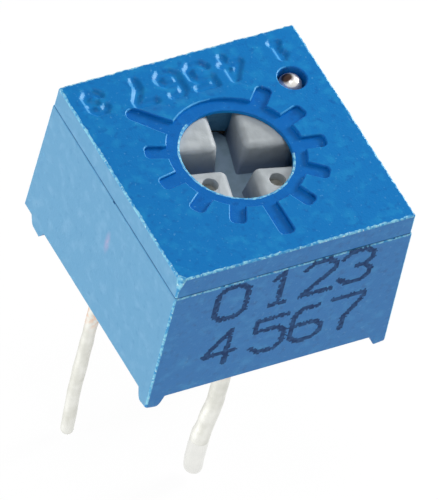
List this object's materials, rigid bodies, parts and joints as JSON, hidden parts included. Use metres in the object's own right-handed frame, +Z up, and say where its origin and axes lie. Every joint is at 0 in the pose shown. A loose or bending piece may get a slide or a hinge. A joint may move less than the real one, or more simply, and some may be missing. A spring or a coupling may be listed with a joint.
{
  "type": "trimmer potentiometer",
  "caption": "Square single-turn trimmer potentiometer with a cross-slotted rotor under a dial and round leads for a circuit board.",
  "frame": {"origin": "on the seating plane under the feet, on the rotor's axis", "axes": "+Z up along the rotor's axis, out of the dial; the printed side faces -Y; terminals 1 and 3 are at +X and -X"},
  "size_m": [0.007, 0.007, 0.0107],
  "materials": {
    "blue_housing": "moulded, satin",
    "blue_cover": "moulded, satin",
    "grey_rotor": "moulded, satin",
    "silicone_rubber": "smooth",
    "wiper_alloy": "stamped, bright",
    "alumina": "fired, matt",
    "cermet_film": "printed and fired",
    "silver_film": "printed and fired",
    "tinned_wire": "solder-dipped, satin",
    "solder": "bright solder",
    "epoxy_potting": "cast, satin"
  },
  "bodies": {
    "housing": {"base_housing": "blue_housing", "top_cover": "blue_cover", "ceramic_plate": "alumina", "resistive_track": "cermet_film", "collector_ring": "silver_film", "end_pad_1": "silver_film", "end_pad_3": "silver_film", "terminal_1": "tinned_wire", "terminal_2": "tinned_wire", "terminal_3": "tinned_wire", "solder_joint_1": "solder", "solder_joint_2": "solder", "solder_joint_3": "solder", "potting": "epoxy_potting"},
    "rotor": {"rotor": "grey_rotor", "rotor_seal": "silicone_rubber", "wiper": "wiper_alloy"}
  },
  "joints": [
    {"name": "rotor_turn", "type": "hinge", "parent": "housing", "child": "rotor", "pos_m": [0, 0, 0.0036], "axis": [0, 0, 1], "range_deg": [-122.25, 147.75]}
  ]
}
